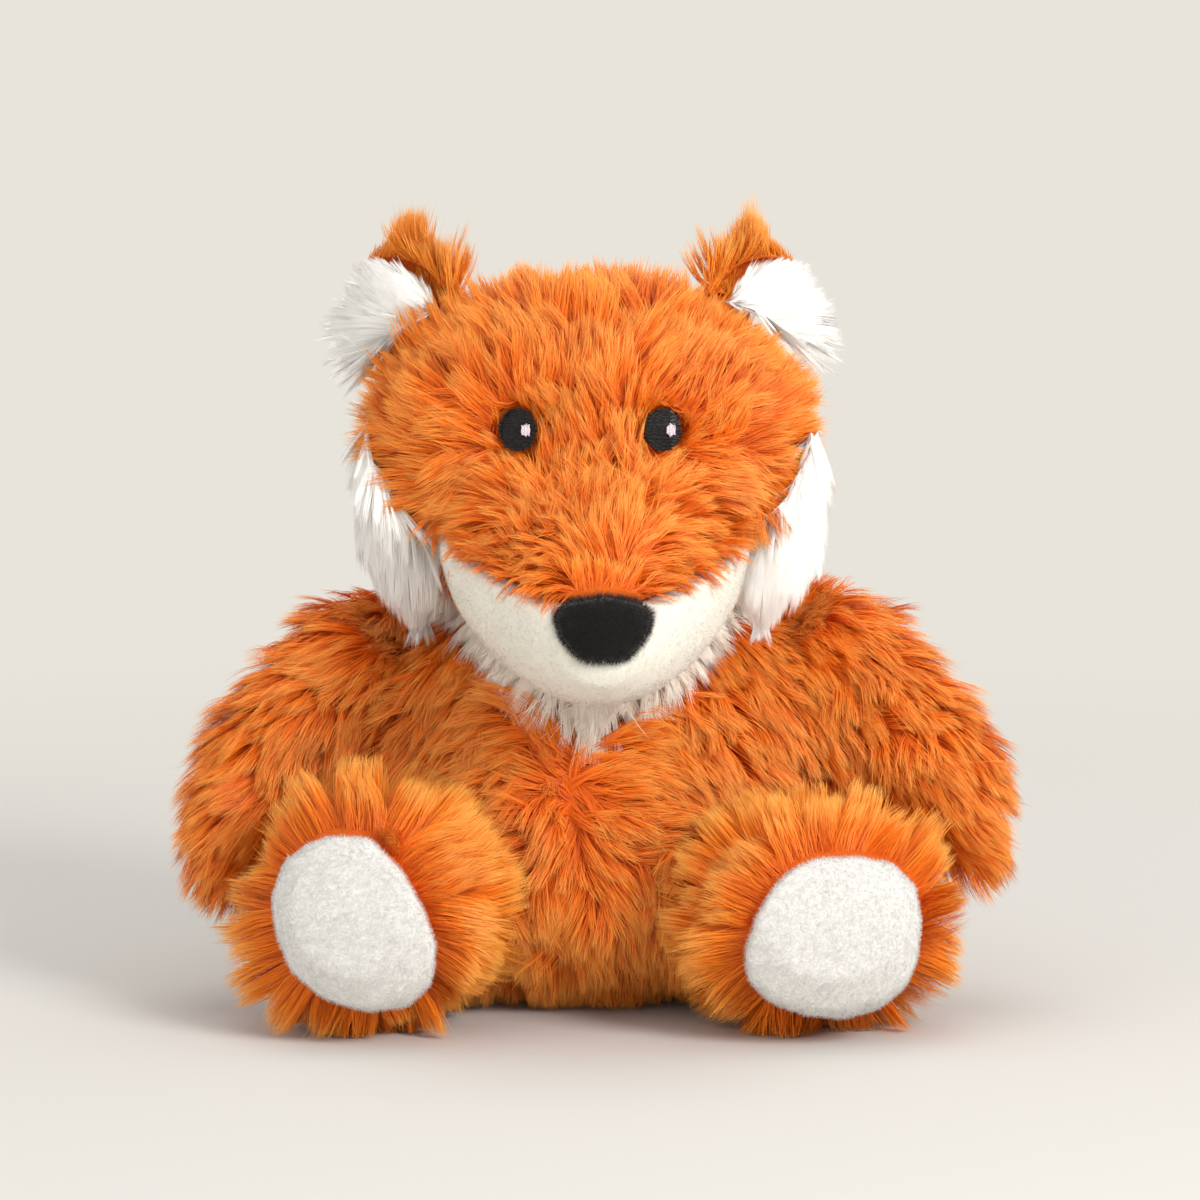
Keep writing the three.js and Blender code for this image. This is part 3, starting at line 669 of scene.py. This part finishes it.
def build_head():
    muzzle_and_nose = ["muzzle_jaw", "nose"]
    skin = make_skin("head_skin", ["head_cover", "head_stuffing"], others("head") + muzzle_and_nose,
                     flush=1.4 * MM)
    finished(skin, "head", "orange_fur", "orange_backing_painted_shade", "head_cover", "head_stuffing", fill=0.8)
    nose = middle_of("nose")
    eyes = [f"eye_{s}" for s in SIDES]
    cheeks = [f"cheek_{s}" for s in SIDES]
    # Tousled patches on the snout: where they are from the nose, and how tousled
    patches = {(-0.020, 0.026, 0.028): 2.2, (0.015, 0.036, 0.038): 1.6}

    def comb(points):
        """Away from the nose, down over the muzzle's seam and the cheeks, and apart round the eyes."""
        x, y = points[:, 0], points[:, 1]
        wish = unit(points - nose)
        back = smoothstep(-0.02, 0.03, y)[:, None]
        wish = wish * (1 - back) + np.array([0, 0.2, -1.0]) * back
        seam = falloff(distances(points, ["muzzle_jaw"]), 16 * MM)
        beside_nose = smoothstep(5 * MM, 15 * MM, np.abs(x - nose[0]))
        wish = wish + (seam * beside_nose)[:, None] * np.array([0, -0.2, -1.9])
        over_cheek = falloff(distances(points, cheeks), 9 * MM)[:, None]
        wish = wish + 0.7 * over_cheek * columns(np.sign(x), -0.9, -0.4)
        for eye in eyes:
            away = points - middle_of(eye)
            near = falloff(np.linalg.norm(away, axis=1), 0.011)[:, None]
            wish = wish + 2.0 * near * unit(away)
        return wish

    def clear(points):
        free = ~before(points, "nose")
        for eye in eyes:
            free &= ~before(points, eye, 0.4 * MM)
        return free

    def trim(points):
        side = falloff(distances(points, cheeks), 12 * MM)
        top = smoothstep(0.19, 0.21, points[:, 2])
        off_edge = smoothstep(0, 12 * MM, distances(points, muzzle_and_nose + eyes))
        return (0.6 + 0.4 * off_edge) * (1 + 0.15 * side) * (1 + 0.2 * top)

    def ruffle(points):
        return sum(strength * falloff(np.linalg.norm(points - (nose + np.array(offset)), axis=1), 0.013)
                   for offset, strength in patches.items())

    def on_temple(points):
        x, y, z = points[:, 0], points[:, 1], points[:, 2]
        return (np.abs(x - nose[0]) > 43 * MM) & (y > -4 * MM) & (y < 15 * MM) & (z > 0.163) & (z < 0.198)

    def temple_comb(points):
        return columns(0.9 * np.sign(points[:, 0]), -0.2, -1.0)

    grow_fur("head_fur", skin, "head", "orange_fur", "orange", comb, keep=lambda p: ~on_temple(p),
             clear=clear, trim=trim, ruffle=ruffle)
    grow_fur("temple_fur", skin, "head", "white_fur", "white", temple_comb, keep=on_temple, length=20 * MM,
             **{**FINE, "lift": 0.4, "messy": 0.06, "straighten": 0.3})


def build_muzzle():
    skin = make_skin("muzzle_skin", ["muzzle_jaw"], [], inset=0.3 * MM, voxel=1.6 * MM, smooth=14)
    finished(skin, "head", "cream_plush", "cream_plush", "muzzle_jaw", fill=0.9)
    grow_plush("muzzle_pile", skin, "head", "cream_pile", 1.3 * MM, 0.22 * MM, tilt=2.2)


def build_nose():
    skin = make_skin("nose_skin", ["nose"], [], inset=0.6 * MM, voxel=0.9 * MM, smooth=26)
    finished(skin, "head", "black_fleece", "fleece", "nose", fill=0.9)
    grow_plush("nose_pile", skin, "head", "black_pile", 2.1 * MM, 0.20 * MM, tilt=1.0)


def build_cheeks():
    for s, side in SIDES.items():
        node = f"cheek_{s}"
        low, high = corners_of(node)

        def shift(points):
            """Out, and up toward the lower end, where the fur hangs on below the skin."""
            share = np.clip((high[2] - points[:, 2]) / (high[2] - low[2]), 0, 1)
            return columns(side * 1.5 * MM, 0, 8 * MM * share ** 2)

        skin = make_skin(f"cheek_skin_{s}", [node], ["head_cover"], inset=4 * MM, voxel=2.4 * MM, shift=shift)
        finished(skin, "head", "white_fur", "white_backing", node)

        def comb(points):
            crown = smoothstep(high[2] - 14 * MM, high[2] - 4 * MM, points[:, 2])[:, None]
            return np.array([side * 0.02, 0, -1.0]) * (1 - crown) + np.array([side * 0.3, -0.2, -0.9]) * crown

        grow_fur(f"cheek_fur_{s}", skin, "head", "white_fur", "white", comb, length=15 * MM, seam=0.1 * MM,
                 **FINE)


# Ears

def build_ears():
    for s, side in SIDES.items():
        body, back_node, lining_node = f"ear_{s}", f"ear_back_{s}", f"ear_lining_{s}"
        low, high = corners_of(back_node)

        def shift(points):
            """Down toward the top, where the fur stands on above the skin."""
            share = np.clip((points[:, 2] - low[2]) / (high[2] - low[2]), 0, 1)
            return columns(0, 0, -9 * MM * share ** 2)

        back = make_skin(f"ear_back_skin_{s}", [back_node], [], inset=4 * MM, voxel=1.8 * MM, shift=shift)
        finished(back, body, "orange_fur", "orange_backing_painted_shade", back_node, fill=0.3)
        lining = make_skin(f"ear_lining_skin_{s}", [lining_node], [], inset=3 * MM, voxel=1.8 * MM,
                           shift=shift)
        finished(lining, body, "white_fur", "white_backing", lining_node, fill=0.3)
        root = middle_of(back_node) - np.array([side * 0.012, 0, 0.03])

        def comb(points):
            outer = smoothstep(-5 * MM, 15 * MM, side * (points[:, 0] - root[0]) - 8 * MM)
            return columns(side * (0.02 - 0.3 * outer), -0.1, 1.0)

        def tuft(points):
            """Long enough to reach a brim above the ear, which rises outward."""
            across = side * (points[:, 0] - root[0])
            brim = high[2] + (7 * smoothstep(2 * MM, 10 * MM, across) - 6) * MM
            longest = 2.0 - 1.6 * smoothstep(11 * MM, 18 * MM, across)
            return np.minimum(((brim - points[:, 2]) / (16 * MM)).clip(0.5, None), longest)

        # The ear's back takes the lighter ear fur, which is painted light.
        grow_fur(f"ear_back_fur_{s}", back, body, "orange_fur", "ear", comb, trim=tuft,
                 soft=0.1, lift=0.12, messy=0.12, clump=0.15, uneven=0.06, split=0.1, straighten=1.5)
        middle = middle_of(lining_node)

        def fan(points):
            wish = unit(points - root) + np.array([side * 0.7, -0.2, 0.0])
            wish[:, 2] -= 1.2 * smoothstep(middle[2] + 6 * MM, middle[2] - 14 * MM, points[:, 2])
            return wish

        def hang(points):
            return 0.65 + 0.85 * smoothstep(middle[2] + 4 * MM, middle[2] - 12 * MM, points[:, 2])

        grow_fur(f"ear_lining_fur_{s}", lining, body, "white_fur", "white", fan, trim=hang, length=11 * MM,
                 **FINE)


# Limbs

def build_arms():
    for s, side in SIDES.items():
        body = f"arm_{s}"
        nodes = BODY_NODES[body]

        def shift(points):
            """In at the shoulder, and out at the hand."""
            upper = smoothstep(0.085, 0.11, points[:, 2]) * smoothstep(0.02, 0.05, side * points[:, 0])
            lower = smoothstep(0.09, 0.06, points[:, 2])
            return columns(side * (2 * MM * lower - 4 * MM * upper), 0, -2 * MM * upper)

        skin = make_skin(f"arm_skin_{s}", nodes, others(body), shift=shift)
        finished(skin, body, "orange_fur", "orange_backing_painted_shade", *nodes)
        shoulder = middle_of("torso_cover") + np.array([side * 0.01, 0, 0.09])
        comb = away_from(shoulder, (side * 0.2, 0, -0.5))
        grow_fur(f"arm_fur_{s}", skin, body, "orange_fur", "orange", comb, seam=0)


def build_legs():
    for s in SIDES:
        body, pad_node = f"leg_{s}", f"foot_pad_{s}"
        pad = middle_of(pad_node)
        front = corners_of(f"leg_cover_{s}")[0][1]

        def shift(points):
            """In round the sole, where the fur ring stands out."""
            near = smoothstep(front + 40 * MM, front + 10 * MM, points[:, 1])
            radial = (points - pad) * np.array([1, 0, 1])
            return radial * (-0.15 * near)[:, None]

        def comb(points):
            """Out from the sole, back along the leg, and a little forward in a collar round the sole."""
            radial = unit((points - pad) * np.array([1, 0, 1]))
            back = smoothstep(front + 14 * MM, front + 60 * MM, points[:, 1])[:, None]
            collar = smoothstep(front + 24 * MM, front + 6 * MM, points[:, 1])[:, None]
            return radial + np.array([0, 1.5, 0]) * back + np.array([0, -0.5, 0]) * collar

        skin = make_skin(f"leg_skin_{s}", [f"leg_cover_{s}", f"leg_stuffing_{s}"], others(body) + [pad_node],
                         flush=3 * MM, shift=shift)
        finished(skin, body, "orange_fur", "orange_backing_painted_shade", f"leg_cover_{s}", f"leg_stuffing_{s}")

        def clear(points):
            return ~before(points, pad_node, -0.3 * MM, behind=2 * MM)

        def splay(points):
            outer = np.sign(pad[0]) * (points[:, 0] - pad[0])
            return 1 + 0.4 * smoothstep(0, 30 * MM, outer) * smoothstep(30 * MM, 10 * MM, points[:, 2])

        # The feet take the lighter foot fur, which is painted light.
        grow_fur(f"leg_fur_{s}", skin, body, "orange_fur", "foot", comb, clear=clear, trim=splay,
                 stand=0.9, messy=0.6, uneven=0.2, lift=0.5, clump=0.55, lock=9 * MM, seam=0.2 * MM)
        sole = make_skin(f"pad_skin_{s}", [pad_node], [], inset=0.4 * MM, voxel=1.4 * MM, smooth=10)
        finished(sole, body, "white_plush", "white_plush", pad_node, fill=0.9)
        grow_plush(f"pad_pile_{s}", sole, body, "plush", 1.6 * MM, 0.20 * MM, tilt=1.8)


def build_tail():
    nodes = BODY_NODES["tail"]
    skin = make_skin("tail_skin", nodes, others("tail"))
    finished(skin, "tail", "orange_fur", "orange_backing_painted_shade", *nodes)
    root, tip = middle_of("tail_stuffing"), middle_of("tail_tip")
    along = unit((tip - root)[None])[0]
    start = root - along * 0.05
    seam = np.dot(tip - start, along) - 0.012

    def on_tip(points):
        return (points - start) @ along > seam

    comb = away_from(start - along * 0.05)
    grow_fur("tail_fur", skin, "tail", "orange_fur", "orange", comb, keep=lambda p: ~on_tip(p), seam=0)
    grow_fur("tail_tip_fur", skin, "tail", "white_fur", "white", comb, keep=on_tip, length=19 * MM, seam=0,
             **{**FINE, "density": 2.2, "lift": 0.55, "messy": 0.2, "split": 0.15, "clump": 0.2})


# Eyes, stitched in rows of thread

def tube(path, radius, sides=6):
    """Points and faces of a thin closed tube along a path."""
    path = np.array(path)
    tangents = unit(np.gradient(path, axis=0))
    side = unit(np.cross(tangents, np.array([0, -1.0, 0])))
    out = np.cross(side, tangents)
    points, faces = [], []
    for k, centre in enumerate(path):
        thin = radius * (0.55 if k in (0, len(path) - 1) else 1.0)
        for j in range(sides):
            angle = 2 * math.pi * j / sides
            points.append(centre + thin * (math.cos(angle) * side[k] + math.sin(angle) * out[k]))
    for k in range(len(path) - 1):
        for j in range(sides):
            a, b = k * sides + j, k * sides + (j + 1) % sides
            faces.append((a, b, b + sides, a + sides))
    faces.append(tuple(range(sides))[::-1])
    faces.append(tuple(range((len(path) - 1) * sides, len(path) * sides)))
    return points, faces


def stitched(name, node, pitch, radius, wave, body, material, upright=False):
    """Satin stitches that fill the front of an oval plate."""
    low, high = corners_of(node)
    middle, half = (low + high) / 2, (high - low) / 2
    tree = BVHTree.FromPolygons(*joined_nodes([node]))
    along, over = (2, 0) if upright else (0, 2)
    points, faces = [], []
    rows = int(2 * half[over] / pitch)
    for row in range(rows):
        level = -half[over] + (row + 0.5) * 2 * half[over] / rows
        reach = half[along] * math.sqrt(max(0.0, 1 - (level / half[over]) ** 2))
        for offset in (-0.2, 0.2):
            end = reach + rng.uniform(*STITCH_ENDS) * MM
            phase = rng.uniform(0, 2 * math.pi)
            path = []
            for t in np.linspace(-end, end, STITCH_POINTS):
                spot = np.array(middle)
                spot[along] += t
                spot[over] += level + offset * pitch + wave * math.sin(t / STITCH_WAVE + phase)
                hit = tree.ray_cast(Vector((spot[0], low[1] - 0.02, spot[2])), Vector((0, 1, 0)))[0]
                spot[1] = hit[1] if hit else (path[-1][1] if path else low[1] + 0.6 * MM)
                spot[1] -= radius * (0.5 + 0.4 * math.sin(t / STITCH_TWIST + 2 * phase))
                path.append(spot)
            more, tris = tube(path, radius * rng.uniform(0.85, 1.1))
            faces += [tuple(len(points) + i for i in f) for f in tris]
            points += more
    obj = mesh_object(name, points, faces)
    obj.data.materials.append(MATERIALS[material])
    obj.data.polygons.foreach_set("use_smooth", np.ones(len(obj.data.polygons), bool))
    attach(obj, body)


def build_eyes():
    for s in SIDES:
        stitched(f"eye_stitches_{s}", f"eye_{s}", 1.1 * MM, 0.26 * MM, 0.16 * MM,
                 "head", "thread")
        stitched(f"glint_stitches_{s}", f"eye_glint_{s}", 0.8 * MM, 0.20 * MM, 0.1 * MM,
                 "head", "glint", upright=True)
        for node, material in ((f"eye_{s}", "thread"), (f"eye_glint_{s}", "glint")):
            obj = frame["nodes"][node]
            obj.data.materials.clear()
            obj.data.materials.append(MATERIALS[material])


# Stage, lamps and camera

def seen_directly(nodes, links):
    """1 where the camera, a reflection or a glass looks at a thing, and 0 where it lights others."""
    path = nodes.new("ShaderNodeLightPath")
    either = nodes.new("ShaderNodeMath")
    either.operation = "MAXIMUM"
    links.new(path.outputs["Is Camera Ray"], either.inputs[0])
    links.new(path.outputs["Is Glossy Ray"], either.inputs[1])
    all_three = nodes.new("ShaderNodeMath")
    all_three.operation = "MAXIMUM"
    links.new(either.outputs[0], all_three.inputs[0])
    links.new(path.outputs["Is Transmission Ray"], all_three.inputs[1])
    return all_three.outputs[0]


def build_floor():
    """A pale floor that keeps the shadow near the fox and fades into the backdrop further out."""
    half = FLOOR_SIZE / 2
    corners = [(-half, -half, 0), (half, -half, 0), (half, half, 0), (-half, half, 0)]
    floor = mesh_object("floor", corners, [(0, 1, 2, 3)])
    material, nodes, links, shader = node_material("floor")
    shader.inputs["Base Color"].default_value = (*FLOOR, 1)
    shader.inputs["Roughness"].default_value = 0.9
    shader.inputs["Specular IOR Level"].default_value = 0.1
    where = nodes.new("ShaderNodeTexCoord")
    radius = nodes.new("ShaderNodeVectorMath")
    radius.operation = "LENGTH"
    links.new(where.outputs["Object"], radius.inputs[0])
    fade = nodes.new("ShaderNodeMapRange")
    fade.interpolation_type = "SMOOTHSTEP"
    fade.inputs["From Min"].default_value = FLOOR_NEAR
    fade.inputs["From Max"].default_value = FLOOR_FAR
    links.new(radius.outputs["Value"], fade.inputs["Value"])
    share = nodes.new("ShaderNodeMath")
    share.operation = "MULTIPLY"
    links.new(fade.outputs["Result"], share.inputs[0])
    links.new(seen_directly(nodes, links), share.inputs[1])
    glow = nodes.new("ShaderNodeEmission")
    glow.inputs["Color"].default_value = (*BACKDROP, 1)
    mix = nodes.new("ShaderNodeMixShader")
    links.new(share.outputs[0], mix.inputs["Fac"])
    links.new(shader.outputs[0], mix.inputs[1])
    links.new(glow.outputs[0], mix.inputs[2])
    links.new(mix.outputs[0], nodes["Material Output"].inputs["Surface"])
    floor.data.materials.append(material)


def build_world():
    world = bpy.data.worlds.new("world")
    bpy.context.scene.world = world
    world.use_nodes = True
    nodes, links = world.node_tree.nodes, world.node_tree.links
    light = nodes["Background"]
    light.inputs["Color"].default_value = (*WORLD_LIGHT, 1)
    light.inputs["Strength"].default_value = WORLD_STRENGTH
    seen = nodes.new("ShaderNodeBackground")
    seen.inputs["Color"].default_value = (*BACKDROP, 1)
    mix = nodes.new("ShaderNodeMixShader")
    links.new(seen_directly(nodes, links), mix.inputs["Fac"])
    links.new(light.outputs[0], mix.inputs[1])
    links.new(seen.outputs[0], mix.inputs[2])
    links.new(mix.outputs[0], nodes["World Output"].inputs["Surface"])


def build_lights():
    for name, (where, size, power) in LAMPS.items():
        data = bpy.data.lights.new(name, "AREA")
        data.shape = "DISK"
        data.size = size
        data.energy = power
        lamp = bpy.data.objects.new(name, data)
        lamp.location = where
        lamp.rotation_euler = (Vector(LAMP_AIM) - Vector(where)).to_track_quat("-Z", "Y").to_euler()
        bpy.context.collection.objects.link(lamp)


def build_camera():
    data = bpy.data.cameras.new("camera")
    data.sensor_width = SENSOR_WIDTH
    data.lens = SENSOR_WIDTH * CAMERA_DISTANCE / PHOTO_SPAN
    camera = bpy.data.objects.new("camera", data)
    toward = Vector((0, -math.cos(CAMERA_RISE), math.sin(CAMERA_RISE)))
    camera.location = AIM + toward * CAMERA_DISTANCE
    camera.rotation_euler = (-toward).to_track_quat("-Z", "Y").to_euler()
    bpy.context.collection.objects.link(camera)
    bpy.context.scene.camera = camera


build_camera()
build_floor()
build_world()
build_lights()
bpy.context.scene.view_settings.view_transform = "Standard"
build_torso()
build_head()
build_muzzle()
build_nose()
build_cheeks()
build_ears()
build_arms()
build_legs()
build_tail()
build_eyes()
